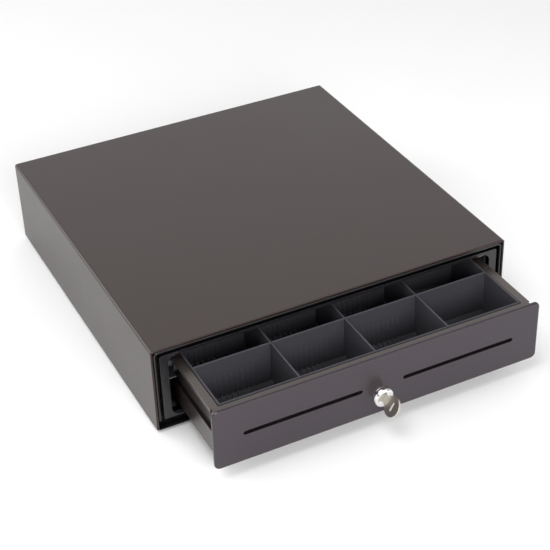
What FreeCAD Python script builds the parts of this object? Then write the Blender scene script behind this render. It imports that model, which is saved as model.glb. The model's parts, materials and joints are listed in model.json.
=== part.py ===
"""Cash drawer: a sheet-steel case, a drawer on rollers, a till tray, a key lock and a solenoid latch.

The origin is the centre of the four counter-fixing holes, on the underside of the case.
+X is to the right, +Y to the back and +Z up.  The drawer stands partly open, at rest.
"""
import FreeCAD
import Part
import Sketcher
import math
import os
from FreeCAD import Placement, Rotation, Vector

SIZES = (
    ("caseWidth", 410.0, "case, over its sides"),
    ("caseDepth", 415.0, "case, front rim to back"),
    ("caseHeight", 99.0, "case, without its feet"),
    ("sheet", 1.2, "sheet steel of the case and the drawer"),
    ("hemWidth", 2.2, "folded edge of the cover at the front"),
    ("hemDepth", 12.0, "how far the folded edge runs back"),
    ("coverRound", 3.0, "bend between the cover's top and sides"),
    ("faceSetback", 1.0, "front frame's face, behind the case's front rim"),
    ("frameHalf", 202.0, "front frame, half its width"),
    ("frameTop", 96.2, "front frame, top edge"),
    ("frameLow", 11.0, "front frame, lower edge"),
    ("lipWidth", 2.8, "rounded lip round the front frame"),
    ("grooveWidth", 3.4, "groove between the lip and the face"),
    ("grooveBack", 8.0, "front rim to the floor of the groove"),
    ("openingHalf", 187.0, "drawer opening, half its width"),
    ("openingLow", 13.0, "drawer opening, lower edge"),
    ("openingHigh", 86.6, "drawer opening, upper edge"),
    ("openingRound", 9.0, "drawer opening, corner radius"),
    ("sillHeight", 10.5, "front channel of the base"),
    ("drawerOut", 95.6, "how far the drawer stands open"),
    ("panelHalf", 184.2, "front panel, half its width"),
    ("panelLow", 13.7, "front panel, lower edge"),
    ("panelHigh", 84.2, "front panel, upper edge"),
    ("panelThick", 3.0, "front panel"),
    ("panelRound", 6.0, "front panel, corner radius"),
    ("slotNear", 23.0, "media slot, end nearer the lock"),
    ("slotFar", 153.0, "media slot, far end"),
    ("slotLevel", 48.0, "media slot, centre line"),
    ("slotHeight", 4.6, "media slot"),
    ("lockLevel", 33.0, "lock, centre"),
    ("keyAngle", 31.0, "key, degrees clockwise from upright"),
    ("panHalf", 172.5, "drawer pan, half its width"),
    ("panLow", 16.5, "drawer pan, underside"),
    ("panHigh", 78.5, "drawer pan, top of its flanges"),
    ("panLength", 345.0, "panel face to the pan's back"),
    ("flangeHalf", 180.0, "drawer pan over its side flanges, half"),
    ("railHalf", 176.0, "lower side channels, half"),
    ("railHigh", 42.5, "lower side channels, top"),
    ("tillHalf", 170.5, "till tray, half its width"),
    ("tillFront", 14.6, "panel face to the till's front"),
    ("tillBack", 322.0, "panel face to the till's back"),
    ("tillLow", 25.0, "till tray, underside"),
    ("tillHigh", 79.5, "till tray, rim"),
    ("tillWall", 2.2, "till tray, wall"),
    ("tillFloor", 2.0, "till tray, floor"),
    ("rowOneBack", 77.4, "panel face to the back of the first coin row"),
    ("rowTwoBack", 140.4, "panel face to the back of the second coin row"),
    ("cupPitch", 84.0, "coin cups, centre to centre"),
    ("ribPitch", 6.0, "ribs on a cup's back wall"),
    ("dividerThick", 1.6, "push-in dividers"),
    ("rollerRadius", 10.8, "drawer rollers"),
    ("rollerLevel", 65.6, "drawer rollers, centre"),
    ("frontRollerBack", 19.0, "front rim to the front rollers"),
    ("rearRollerBack", 334.0, "panel face to the rear rollers"),
    ("pinRadius", 3.0, "roller pins"),
    ("runFit", 0.05, "clearance of a running hole, radial"),
    ("supportInner", 187.2, "inner side sheets, half distance"),
    ("channelTip", 176.8, "runner flanges, inner edge"),
    ("clipRodBack", 312.0, "panel face to the clip rod"),
    ("clipRodLevel", 68.0, "clip rod, centre"),
    ("clipRodRadius", 2.0, "clip rod"),
    ("latchPinX", 6.0, "latch pivot, to the right of centre"),
    ("latchPinBack", 392.0, "front rim to the latch pivot"),
    ("leverLow", 29.0, "latch lever, underside"),
    ("leverThick", 3.0, "latch lever"),
    ("solenoidLevel", 37.0, "solenoid's axis"),
    ("solenoidBack", 372.0, "front rim to the solenoid's axis"),
    ("fixingHalfX", 160.0, "counter-fixing holes, half spacing across"),
    ("fixingHalfY", 147.5, "counter-fixing holes, half spacing front to back"),
    ("fixingRadius", 2.5, "counter-fixing holes"),
    ("footHeight", 3.0, "rubber feet, below the case"),
)

doc = FreeCAD.newDocument("cash_drawer")
dims = doc.addObject("Spreadsheet::Sheet", "dims")


class Size:
    """A length that knows both its number and the spreadsheet formula it comes from."""

    def __init__(self, number, formula=None):
        self.number = float(number)
        self.formula = formula or "(%r)" % float(number)

    def __add__(self, other):
        other = as_size(other)
        return Size(self.number + other.number, "(%s + %s)" % (self.formula, other.formula))

    def __sub__(self, other):
        other = as_size(other)
        return Size(self.number - other.number, "(%s - %s)" % (self.formula, other.formula))

    def __mul__(self, other):
        other = as_size(other)
        return Size(self.number * other.number, "(%s * %s)" % (self.formula, other.formula))

    def __truediv__(self, other):
        other = as_size(other)
        return Size(self.number / other.number, "(%s / %s)" % (self.formula, other.formula))

    def __neg__(self):
        return self * -1

    __radd__ = __add__
    __rmul__ = __mul__

    def __rsub__(self, other):
        return as_size(other) - self


def as_size(value):
    return value if isinstance(value, Size) else Size(value)


class Dimensions:
    """The spreadsheet's cells by alias, each as a Size."""


D = Dimensions()
for row, (alias, number, meaning) in enumerate(SIZES, start=1):
    dims.set("A%d" % row, meaning)
    dims.set("B%d" % row, str(number))
    dims.setAlias("B%d" % row, alias)
    setattr(D, alias, Size(number, "dims." + alias))
doc.recompute()

SIDES = (("left", -1), ("right", 1))
SUB_PARTS = []


# ---------------------------------------------------------------- helpers

def publish(feature, label):
    """Names a finished sub-part; its label is also its file's name."""
    feature.Label = label
    SUB_PARTS.append(feature)
    return feature


def from_front(distance):
    """Y of a place that lies this far behind the case's front rim."""
    return as_size(distance) - D.caseDepth / 2


def from_panel(distance):
    """Y of a place that lies this far behind the face of the drawer's panel."""
    return as_size(distance) - D.caseDepth / 2 - D.drawerOut


def on_side(side, inner, outer):
    """X span between two distances from the middle, on the left (-1) or the right (+1)."""
    inner = as_size(inner)
    outer = as_size(outer)
    return (inner, outer) if side > 0 else (-outer, -inner)


def drive(target, name, size):
    target.setExpression(name, as_size(size).formula)


def place_at(target, x, y, z):
    for axis, size in zip("xyz", (x, y, z)):
        drive(target, "Placement.Base." + axis, size)


def block(name, x, y, z):
    """A box between the low and the high value of each axis."""
    box = doc.addObject("Part::Box", name)
    for span, edge in zip((x, y, z), ("Length", "Width", "Height")):
        drive(box, edge, as_size(span[1]) - span[0])
    place_at(box, x[0], y[0], z[0])
    return box


ALONG = {
    "x": Rotation(Vector(0, 1, 0), 90),
    "y": Rotation(Vector(1, 0, 0), -90),
    "z": Rotation(),
}


def rod(name, along, radius, span, centre):
    """A cylinder along one axis: its span on that axis, its centre on the two others, in X, Y, Z order."""
    cylinder = doc.addObject("Part::Cylinder", name)
    cylinder.Placement = Placement(Vector(), ALONG[along])
    drive(cylinder, "Radius", radius)
    drive(cylinder, "Height", as_size(span[1]) - span[0])
    start = list(centre)
    start.insert("xyz".index(along), span[0])
    place_at(cylinder, *start)
    return cylinder


def join(name, shapes):
    feature = doc.addObject("Part::MultiFuse", name)
    feature.Shapes = shapes
    feature.Refine = True
    return feature


def cut(name, base, tools):
    feature = doc.addObject("Part::Cut", name)
    feature.Base = base
    feature.Tool = tools[0] if len(tools) == 1 else join(name + "_tools", tools)
    feature.Refine = True
    return feature


def group(name, shapes):
    """Separate solids that share one node."""
    feature = doc.addObject("Part::Compound", name)
    feature.Links = shapes
    return feature


def new_body(name):
    return doc.addObject("PartDesign::Body", name)


PLANES = {"xy": "XY_Plane", "xz": "XZ_Plane", "yz": "YZ_Plane"}


def outline(sketch, points):
    """A closed outline through the given pairs of sizes, each held to the sketch's origin."""
    first = sketch.GeometryCount
    count = len(points)
    points = [(as_size(u), as_size(v)) for u, v in points]
    for i, (u, v) in enumerate(points):
        next_u, next_v = points[(i + 1) % count]
        start = Vector(u.number, v.number, 0)
        end = Vector(next_u.number, next_v.number, 0)
        sketch.addGeometry(Part.LineSegment(start, end), False)
    for i in range(count):
        after = first + (i + 1) % count
        sketch.addConstraint(Sketcher.Constraint("Coincident", first + i, 2, after, 1))
    for i, (u, v) in enumerate(points):
        for kind, size in (("DistanceX", u), ("DistanceY", v)):
            index = sketch.addConstraint(Sketcher.Constraint(kind, -1, 1, first + i, 1, size.number))
            drive(sketch, "Constraints[%d]" % index, size)


def ring(sketch, centre, radius):
    """A circle with its centre and radius held to sizes."""
    u, v = (as_size(size) for size in centre)
    radius = as_size(radius)
    middle = Vector(u.number, v.number, 0)
    circle = sketch.addGeometry(Part.Circle(middle, Vector(0, 0, 1), radius.number), False)
    held = (
        Sketcher.Constraint("DistanceX", -1, 1, circle, 3, u.number),
        Sketcher.Constraint("DistanceY", -1, 1, circle, 3, v.number),
        Sketcher.Constraint("Radius", circle, radius.number),
    )
    for constraint, size in zip(held, (u, v, radius)):
        index = sketch.addConstraint(constraint)
        drive(sketch, "Constraints[%d]" % index, size)


def sketch_on(body, name, plane, level=0):
    """An empty sketch on one of the body's own planes, moved along that plane's axis to the level."""
    sketch = body.newObject("Sketcher::SketchObject", name)
    roles = {feature.Role: feature for feature in body.Origin.OriginFeatures}
    sketch.AttachmentSupport = [(roles[PLANES[plane]], "")]
    sketch.MapMode = "FlatFace"
    level = as_size(level)
    drive(sketch, "AttachmentOffset.Base.z", -level if plane == "xz" else level)
    return sketch


def draw(sketch, shapes):
    """Outlines are lists of points; a circle is a (centre, radius) tuple."""
    for shape in shapes:
        if isinstance(shape, tuple):
            ring(sketch, *shape)
        else:
            outline(sketch, shape)


def raise_pad(body, name, plane, span, shapes):
    """Adds material between two levels across the plane."""
    level = span[1] if plane == "xz" else span[0]
    sketch = sketch_on(body, name + "_sketch", plane, level)
    draw(sketch, shapes)
    pad = body.newObject("PartDesign::Pad", name)
    pad.Profile = sketch
    drive(pad, "Length", as_size(span[1]) - span[0])
    return pad


def sink_pocket(body, name, plane, span, shapes):
    """Takes material away between two levels across the plane, and makes sure that it did."""
    doc.recompute()
    before = body.Shape.Volume
    level = span[0] if plane == "xz" else span[1]
    sketch = sketch_on(body, name + "_sketch", plane, level)
    draw(sketch, shapes)
    pocket = body.newObject("PartDesign::Pocket", name)
    pocket.Profile = sketch
    drive(pocket, "Length", as_size(span[1]) - span[0])
    doc.recompute()
    if body.Shape.Volume > before - 1e-6:
        raise RuntimeError("nothing was cut by " + name)
    return pocket


def soften(body, name, radius, chosen):
    """Rounds the edges of the body's last feature that the test picks out."""
    doc.recompute()
    base = body.Tip
    names = [
        "Edge%d" % (i + 1)
        for i, edge in enumerate(base.Shape.Edges)
        if chosen(edge)
    ]
    if not names:
        raise RuntimeError("no edge found for " + name)
    fillet = body.newObject("PartDesign::Fillet", name)
    fillet.Base = (base, names)
    drive(fillet, "Radius", radius)
    doc.recompute()
    return fillet


def near(value, size, reach=0.01):
    return abs(value - as_size(size).number) < reach


def runs_along(edge, axis):
    """True for a straight edge along one axis."""
    if not isinstance(edge.Curve, (Part.Line, Part.LineSegment)):
        return False
    direction = edge.Curve.Direction
    return abs(abs(getattr(direction, axis)) - 1) < 1e-6


def edge_at(edge, **wanted):
    """True if the edge's middle has the wanted coordinates; each may be a size or its mirror image."""
    middle = edge.CenterOfMass
    return all(near(abs(getattr(middle, axis)), abs(as_size(size).number)) for axis, size in wanted.items())


def turned(name, along, points, place):
    """A turned piece: its half section as (distance along, radius) pairs, then moved to its place."""
    body = new_body(name)
    plane, axis_name = {"x": ("xz", "H_Axis"), "y": ("yz", "H_Axis"), "z": ("yz", "V_Axis")}[along]
    sketch = sketch_on(body, name + "_section", plane)
    if along == "z":
        points = [(radius, distance) for distance, radius in points]
    outline(sketch, points)
    revolution = body.newObject("PartDesign::Revolution", name + "_turn")
    revolution.Profile = sketch
    revolution.ReferenceAxis = (sketch, [axis_name])
    revolution.Angle = 360
    place_at(body, *place)
    return body


def coil_spring(name, wire, radius, span, turns, along, centre):
    """A helical spring with its span along one axis."""
    length = (as_size(span[1]) - span[0]) - wire * 2
    helix = doc.addObject("Part::Helix", name + "_path")
    drive(helix, "Radius", radius)
    drive(helix, "Height", length)
    drive(helix, "Pitch", length / turns)
    section = doc.addObject("Part::Circle", name + "_wire")
    drive(section, "Radius", wire)
    section.Placement = Placement(Vector(as_size(radius).number, 0, 0), Rotation(Vector(1, 0, 0), 90))
    drive(section, "Placement.Base.x", radius)
    sweep = doc.addObject("Part::Sweep", name)
    sweep.Sections = [section]
    sweep.Spine = (helix, ["Edge1"])
    sweep.Solid = True
    sweep.Frenet = True
    sweep.Placement = Placement(Vector(), ALONG[along])
    start = list(centre)
    start.insert("xyz".index(along), as_size(span[0]) + wire)
    place_at(sweep, *start)
    return sweep


# ---------------------------------------------------------------- case

def make_base_pan():
    inside = D.caseWidth / 2 - D.sheet
    side = inside - 0.2
    clear_of_hem = D.caseWidth / 2 - D.hemWidth - 0.4
    back = D.caseDepth - D.sheet * 2
    solids = [
        block("base_floor", (-side, side), (from_front(D.hemDepth + 1), from_front(back)), (0, D.sheet)),
        block("base_floor_front", (-clear_of_hem, clear_of_hem),
              (from_front(0), from_front(D.hemDepth + 1)), (0, D.sheet)),
        block("base_sill", (-clear_of_hem, clear_of_hem),
              (from_front(D.grooveBack), from_front(D.grooveBack + D.sheet)), (D.sheet, D.sillHeight)),
        block("base_sill_top", (-clear_of_hem, clear_of_hem),
              (from_front(D.grooveBack + D.sheet), from_front(D.hemDepth)),
              (D.sillHeight - D.sheet, D.sillHeight)),
    ]
    for word, sign in SIDES:
        solids.append(block("base_wall_" + word, on_side(sign, side - D.sheet, side),
                            (from_front(D.hemDepth + 1), from_front(back)), (D.sheet, 14)))
    holes = []
    for i, (x, y) in enumerate(((-1, -1), (1, -1), (-1, 1), (1, 1))):
        holes.append(rod("fixing_hole_%d" % i, "z", D.fixingRadius, (-1, D.sheet + 1),
                         (D.fixingHalfX * x, D.fixingHalfY * y)))
        holes.append(rod("foot_hole_%d" % i, "z", 3, (-1, D.sheet + 1), foot_place(x, y)))
    holes.append(block("release_hole", (-18, 2), (from_front(350), from_front(361)), (-1, D.sheet + 1)))
    publish(cut("base_pan", join("base_folded", solids), holes), "base_pan")


def foot_place(x, y):
    return (D.fixingHalfX * x + 15 * x, D.fixingHalfY * y + 30 * y)


def make_top_cover():
    """Top and sides in one sheet; a second layer inside the front edge is its hem."""
    body = new_body("cover")
    outer = D.caseWidth / 2
    foot = D.sheet / 2

    def arch(thick):
        inner = outer - thick
        under = D.caseHeight - thick
        return [(-outer, foot), (-inner, foot), (-inner, under), (inner, under),
                (inner, foot), (outer, foot), (outer, D.caseHeight), (-outer, D.caseHeight)]

    raise_pad(body, "cover_sheet", "xz", (from_front(0), from_front(D.caseDepth)), [arch(D.sheet)])
    raise_pad(body, "cover_hem", "xz", (from_front(0), from_front(D.hemDepth)), [arch(D.hemWidth)])
    back = D.caseDepth - D.sheet
    lip = outer - 12
    low = D.caseHeight - 12
    raise_pad(body, "cover_back_lip", "xz", (from_front(back), from_front(D.caseDepth)),
              [[(-outer, 2), (-lip, 2), (-lip, low), (lip, low), (lip, 2), (outer, 2),
                (outer, D.caseHeight), (-outer, D.caseHeight)]])
    sink_pocket(body, "cover_screw_holes", "xz", (from_front(back - 1), from_front(D.caseDepth + 1)),
                [((x, z), 1.9) for x, z in cover_screw_places()])
    soften(body, "cover_bends", D.coverRound,
           lambda edge: runs_along(edge, "y") and edge_at(edge, x=outer) and near(edge.CenterOfMass.z,
                                                                               D.caseHeight))
    soften(body, "cover_front_edge", 0.9,
           lambda edge: near(edge.CenterOfMass.y, from_front(0)) and near(edge.BoundBox.YLength, 0)
           and (edge_at(edge, x=outer, z=(D.caseHeight - D.coverRound + foot) / 2)
                or near(edge.CenterOfMass.z, D.caseHeight)))
    publish(body, "top_cover")


def cover_screw_places():
    across = D.caseWidth / 2 - 7
    return [(across * x, z) for x in (-1, 1) for z in (Size(22), Size(76))]


def make_front_frame():
    """A face plate with the drawer's opening, a groove round its top and sides, and a rounded lip."""
    body = new_body("frame")
    half = D.frameHalf
    front = Size(0.3)
    face = D.faceSetback
    back = D.grooveBack + D.sheet
    low = D.frameLow
    raise_pad(body, "frame_blank", "xz", (from_front(front), from_front(back)),
              [[(-half, low), (half, low), (half, D.frameTop), (-half, D.frameTop)]])
    inner = half - D.lipWidth
    ceiling = D.frameTop - D.lipWidth
    plate = inner - D.grooveWidth
    plate_top = ceiling - D.grooveWidth
    sink_pocket(body, "frame_recess", "xz", (from_front(front - 1), from_front(face)),
                [[(-inner, low - 1), (inner, low - 1), (inner, ceiling), (-inner, ceiling)]])
    sink_pocket(body, "frame_groove", "xz", (from_front(face - 1), from_front(D.grooveBack)),
                [[(-inner, low - 1), (-plate, low - 1), (-plate, plate_top), (plate, plate_top),
                  (plate, low - 1), (inner, low - 1), (inner, ceiling), (-inner, ceiling)]])
    soften(body, "frame_recess_corners", 2.2,
           lambda edge: runs_along(edge, "y") and edge_at(edge, x=inner, z=ceiling))
    soften(body, "frame_corners", 5,
           lambda edge: runs_along(edge, "y") and edge_at(edge, x=half, z=D.frameTop))
    soften(body, "frame_face_corners", 3,
           lambda edge: runs_along(edge, "y") and edge_at(edge, x=plate, z=plate_top))
    soften(body, "frame_lip_nose", 1.3,
           lambda edge: near(edge.CenterOfMass.y, from_front(front)) and near(edge.BoundBox.YLength, 0)
           and edge.CenterOfMass.z > low.number + 1)
    sink_pocket(body, "frame_back", "xz", (from_front(face + D.sheet), from_front(back + 1)),
                [[(D.sheet - plate, low - 1), (plate - D.sheet, low - 1),
                  (plate - D.sheet, plate_top - D.sheet), (D.sheet - plate, plate_top - D.sheet)]])
    sink_pocket(body, "frame_opening", "xz", (from_front(face - 1), from_front(back + 1)),
                [[(-D.openingHalf, D.openingLow), (D.openingHalf, D.openingLow),
                  (D.openingHalf, D.openingHigh), (-D.openingHalf, D.openingHigh)]])
    soften(body, "frame_opening_corners", D.openingRound,
           lambda edge: runs_along(edge, "y") and edge_at(edge, x=D.openingHalf))
    publish(body, "front_frame")


def make_rear_panel():
    half = D.caseWidth / 2 - D.sheet - 0.3
    face = (from_front(D.caseDepth - D.sheet * 2), from_front(D.caseDepth - D.sheet))
    flange = (from_front(D.caseDepth - 11), face[0])
    top = D.caseHeight - D.sheet - 0.3
    solids = [
        block("rear_face", (-half, half), face, (D.sheet, top)),
        block("rear_top_flange", (-half + 10, half - 10), flange, (top - D.sheet, top)),
        block("rear_foot", (-half + 10, half - 10), flange, (D.sheet, D.sheet * 2)),
    ]
    holes = [
        rod("rear_screw_hole_%d" % i, "y", 1.5, (face[0] - 1, face[1] + 1), place)
        for i, place in enumerate(cover_screw_places())
    ]
    holes.append(block("rear_socket_hole", (SOCKET_X - 7, SOCKET_X + 7), (face[0] - 1, face[1] + 1),
                       (SOCKET_Z - 6, SOCKET_Z + 6)))
    publish(cut("rear", join("rear_folded", solids), holes), "rear_panel")


SOCKET_X = Size(-150)
SOCKET_Z = Size(30)


def make_signal_socket():
    """A six-way modular socket that opens to the back."""
    back = D.caseDepth - D.sheet + 0.6
    shell = block("socket_shell", (SOCKET_X - 6.8, SOCKET_X + 6.8), (from_front(back - 16), from_front(back)),
                  (SOCKET_Z - 5.8, SOCKET_Z + 5.8))
    bezel = block("socket_bezel", (SOCKET_X - 9, SOCKET_X + 9),
                  (from_front(D.caseDepth - D.sheet), from_front(back)), (SOCKET_Z - 8, SOCKET_Z + 8))
    mouth = block("socket_mouth", (SOCKET_X - 4.9, SOCKET_X + 4.9), (from_front(back - 12), from_front(back + 1)),
                  (SOCKET_Z - 4, SOCKET_Z + 3))
    latch = block("socket_latch_way", (SOCKET_X - 1.8, SOCKET_X + 1.8),
                  (from_front(back - 12), from_front(back + 1)), (SOCKET_Z + 2.9, SOCKET_Z + 4.6))
    publish(cut("socket", join("socket_solid", [shell, bezel]), [mouth, latch]), "signal_socket")


def make_side(word, sign):
    """The inner side sheet, the runner channel on it and the front roller's pin."""
    inner = D.supportInner
    span = (from_front(D.hemDepth + 1.2), from_front(D.caseDepth - 16))
    web = block("support_web_" + word, on_side(sign, inner, inner + D.sheet), span, (D.sheet, 92))
    foot = block("support_foot_" + word, on_side(sign, inner + D.sheet, inner + 13), span,
                 (D.sheet, D.sheet * 2))
    crown = block("support_crown_" + word, on_side(sign, inner + D.sheet, inner + 13), span,
                  (92 - D.sheet, 92))
    y = from_front(D.frontRollerBack)
    level = D.panHigh - D.sheet - 0.3 - D.rollerRadius
    hole = rod("support_hole_" + word, "x", D.pinRadius, on_side(sign, inner - 1, inner + 3), (y, level))
    publish(cut("support_" + word, join("support_folded_" + word, [web, foot, crown]), [hole]),
            "side_support_" + word)

    floor_top = D.rollerLevel - D.rollerRadius - 0.3
    roof = D.panHigh + 1.5
    along = (from_front(8), from_front(D.caseDepth - 23))
    back = inner - D.sheet
    channel = [
        block("runner_web_" + word, on_side(sign, back, inner), along, (floor_top - D.sheet, roof + D.sheet)),
        block("runner_floor_" + word, on_side(sign, D.channelTip, back), along,
              (floor_top - D.sheet, floor_top)),
        block("runner_roof_" + word, on_side(sign, D.channelTip, back), along, (roof, roof + D.sheet)),
        block("runner_stop_" + word, on_side(sign, back - 5, back), (from_front(50.5), from_front(53.5)),
              (floor_top, floor_top + 6)),
    ]
    hole = rod("runner_hole_" + word, "x", D.pinRadius, on_side(sign, back - 1, inner + 1), (y, level))
    publish(cut("runner_solid_" + word, join("runner_folded_" + word, channel), [hole]), "runner_" + word)

    pin = turned("front_pin_" + word, "x",
                 [(0, 0), (0, 4.5), (1, 4.5), (1, D.pinRadius), (15.6, D.pinRadius), (15.6, 4.6),
                  (17, 4.6), (17, 0)],
                 (D.panHalf * sign + 0.5 * sign, y, level))
    flip_to_side(pin, sign)
    publish(pin, "front_roller_pin_" + word)

    roller = turned("front_wheel_" + word, "x",
                    [(0, D.pinRadius + D.runFit), (0, D.rollerRadius - 0.5), (0.5, D.rollerRadius),
                     (3.8, D.rollerRadius), (4.3, D.rollerRadius - 0.5), (4.3, 5), (11.4, 5),
                     (11.4, D.pinRadius + D.runFit)],
                    (D.panHalf * sign + 1.6 * sign, y, level))
    flip_to_side(roller, sign)
    publish(roller, "front_roller_" + word)


def flip_to_side(body, sign):
    """Turns a piece drawn for the right side round to face the left."""
    if sign < 0:
        body.Placement = Placement(body.Placement.Base, Rotation(Vector(0, 0, 1), 180))


def make_feet():
    feet = []
    for i, (x, y) in enumerate(((-1, -1), (1, -1), (-1, 1), (1, 1))):
        foot = turned("foot_%d" % i, "z",
                      [(-D.footHeight, 0), (-D.footHeight, 7), (-D.footHeight + 1, 8), (0, 8), (0, 2.9),
                       (D.sheet, 2.9), (D.sheet, 4), (D.sheet + 2.5, 2.5), (D.sheet + 2.5, 0)],
                      (*foot_place(x, y), 0))
        feet.append(foot)
    publish(group("feet", feet), "rubber_feet")


def pan_head_screw(name, along, length, head, radius, place):
    """A screw whose head stands on the face at its place, its shank running to lower values."""
    return turned(name, along,
                  [(-length, 0), (-length, radius), (0, radius), (0, head), (head * 0.4, head),
                   (head * 0.75, head * 0.6), (head * 0.75, 0)], place)


def make_cover_screws():
    screws = [
        pan_head_screw("cover_screw_%d" % i, "y", 6, Size(2.8), Size(1.45), (x, from_front(D.caseDepth), z))
        for i, (x, z) in enumerate(cover_screw_places())
    ]
    publish(group("cover_screw_set", screws), "cover_screws")


def make_lock_keeper():
    """A bent plate on the floor that stands in front of the cam when the drawer is shut and locked."""
    wall = block("keeper_wall", (-9, 9), (from_front(17), from_front(19)), (D.sheet, 15.8))
    foot = block("keeper_foot", (-9, 9), (from_front(19), from_front(29)), (D.sheet, D.sheet + 2))
    publish(join("keeper", [wall, foot]), "lock_keeper")


# ---------------------------------------------------------------- latch

SHELF_TOP = D.leverLow - 0.4
SHELF_THICK = 2.0


def bracket_screw_places():
    return [(x, from_front(y)) for x in (-30, 88) for y in (368, 390)]


def make_latch_bracket():
    """A table on the floor at the back: its top carries the lever and the solenoid."""
    low = SHELF_TOP - SHELF_THICK
    front = from_front(362)
    back = from_front(402)
    solids = [
        block("bracket_top", (-22, 80), (front, back), (low, SHELF_TOP)),
        block("bracket_leg_left", (-22, -20), (front, back), (D.sheet, low)),
        block("bracket_leg_right", (78, 80), (front, back), (D.sheet, low)),
        block("bracket_foot_left", (-38, -22), (front, back), (D.sheet, D.sheet + SHELF_THICK)),
        block("bracket_foot_right", (80, 96), (front, back), (D.sheet, D.sheet + SHELF_THICK)),
    ]
    holes = [
        rod("bracket_hole_%d" % i, "z", 2.1, (0, 8), place) for i, place in enumerate(bracket_screw_places())
    ]
    holes.append(rod("bracket_pin_hole", "z", 3, (low - 1, SHELF_TOP + 1), (D.latchPinX, latch_pin_y())))
    publish(cut("bracket", join("bracket_folded", solids), holes), "latch_bracket")


def latch_pin_y():
    return from_front(D.latchPinBack)


def make_bracket_screws():
    screws = [
        pan_head_screw("bracket_screw_%d" % i, "z", SHELF_THICK, Size(3.6), Size(2),
                       (x, y, D.sheet + SHELF_THICK))
        for i, (x, y) in enumerate(bracket_screw_places())
    ]
    publish(group("bracket_screw_set", screws), "bracket_screws")


def make_latch_pin():
    top = D.leverThick + 0.4 + 0.3
    pin = turned("latch_pivot", "z",
                 [(-4, 0), (-4, 4.5), (-2, 4.5), (-2, 3), (top, 3), (top, 5), (top + 1.5, 5), (top + 1.5, 0)],
                 (D.latchPinX, latch_pin_y(), SHELF_TOP))
    publish(pin, "latch_pin")


def make_latch_lever():
    """A flat hook: an eye on the pin, an arm forward, a ramped tooth to the left and a post for the pull rod."""
    body = new_body("lever")
    levels = (D.leverLow, D.leverLow + D.leverThick)
    x = D.latchPinX
    y = latch_pin_y()
    raise_pad(body, "lever_plate", "xy", levels,
              [[(x - 7, y + 6), (x - 7, y - 10), (x - 1.2, y - 16), (x - 1.2, from_front(355)),
                (x - 11, from_front(355)), (x - 11, from_front(352)), (x - 3, from_front(347.7)),
                (x + 8, from_front(347.7)), (x + 8, y + 6)]])
    raise_pad(body, "lever_post", "xy", (D.leverLow, D.solenoidLevel + 3),
              [((x + 4.5, from_front(D.solenoidBack)), 1.9)])
    sink_pocket(body, "lever_eye", "xy", (D.leverLow - 1, D.leverLow + D.leverThick + 1),
                [((x, y), Size(3) + D.runFit)])
    publish(body, "latch_lever")


def make_solenoid():
    y = from_front(D.solenoidBack)
    z = D.solenoidLevel
    low = SHELF_TOP
    frame = [
        block("solenoid_strap_floor", (34, 76), (y - 10, y + 10), (low, low + 1.4)),
        block("solenoid_strap_near", (34, 36), (y - 10, y + 10), (low + 1.4, z + 10)),
        block("solenoid_strap_far", (74, 76), (y - 10, y + 10), (low + 1.4, z + 10)),
        block("solenoid_strap_roof", (34, 76), (y - 10, y + 10), (z + 10, z + 11.4)),
    ]
    bore = rod("solenoid_bore", "x", 4.7, (33, 37), (y, z))
    publish(cut("solenoid_strap", join("solenoid_strap_folded", frame), [bore]), "solenoid_frame")

    coil = turned("solenoid_winding", "x",
                  [(0, 4.4), (0, 6.6), (1.5, 6.6), (1.5, 6), (36.5, 6), (36.5, 6.6), (38, 6.6), (38, 4.4)],
                  (36, y, z))
    publish(coil, "solenoid_coil")

    plunger = new_body("plunger")
    eye_x = D.latchPinX + 4.5
    raise_pad(plunger, "plunger_flat", "xy", (z - 1.2, z + 1.2),
              [[(eye_x - 4.5, y - 4.2), (22, y - 4.2), (22, y + 6.2), (eye_x - 4.5, y + 6.2)]])
    raise_pad(plunger, "plunger_rod", "yz", (18, 66), [((y, z), 4.35)])
    raise_pad(plunger, "plunger_collar", "yz", (21.2, 22.4), [((y, z), 6.3)])
    sink_pocket(plunger, "plunger_eye", "xy", (z - 4, z + 4),
                [[(eye_x - 2.2, y - 2.3), (eye_x + 2.2, y - 2.3), (eye_x + 2.2, y + 4.2),
                  (eye_x - 2.2, y + 4.2)]])
    publish(plunger, "solenoid_plunger")

    spring = coil_spring("plunger_coil", 0.4, 5.4, (Size(22.6), Size(33.8)), 6, "x", (y, z))
    publish(spring, "plunger_spring")


def make_ejector():
    x = Size(-70)
    z = Size(46)
    face = D.caseDepth - D.sheet * 2
    post = turned("ejector_guide", "y",
                  [(-58, 0), (-58, 4), (-57, 5), (-3, 5), (-3, 12), (0, 12), (0, 0)],
                  (x, from_front(face), z))
    publish(post, "ejector_post")
    spring = coil_spring("ejector_coil", 0.9, 7.5, (from_front(face - 90), from_front(face - 3)), 11, "y", (x, z))
    publish(spring, "ejector_spring")


def make_microswitch():
    """Stands on the shelf behind the lever, its button towards the lever's edge."""
    x = (-14.5, -4.5)
    case = block("switch_case", x, (from_front(371), from_front(391)), (SHELF_TOP, SHELF_TOP + 11))
    button = block("switch_button", (-4.5, -1.5), (from_front(384), from_front(388)),
                   (SHELF_TOP + 1, SHELF_TOP + 4))
    tags = [
        block("switch_tag_%d" % i, (-14.5, -13.5), (from_front(y), from_front(y + 3)),
              (SHELF_TOP + 11, SHELF_TOP + 15)) for i, y in enumerate((373, 379.5, 386))
    ]
    publish(join("switch", [case, button] + tags), "microswitch")


# ---------------------------------------------------------------- drawer

def lock_placement(body):
    """Moves a piece drawn about the lock's axis to the panel and turns it with the key."""
    body.Placement = Placement(Vector(), Rotation(Vector(0, 1, 0), D.keyAngle.number))
    drive(body, "Placement.Rotation.Angle", D.keyAngle)
    place_at(body, 0, from_panel(0), D.lockLevel)


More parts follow.
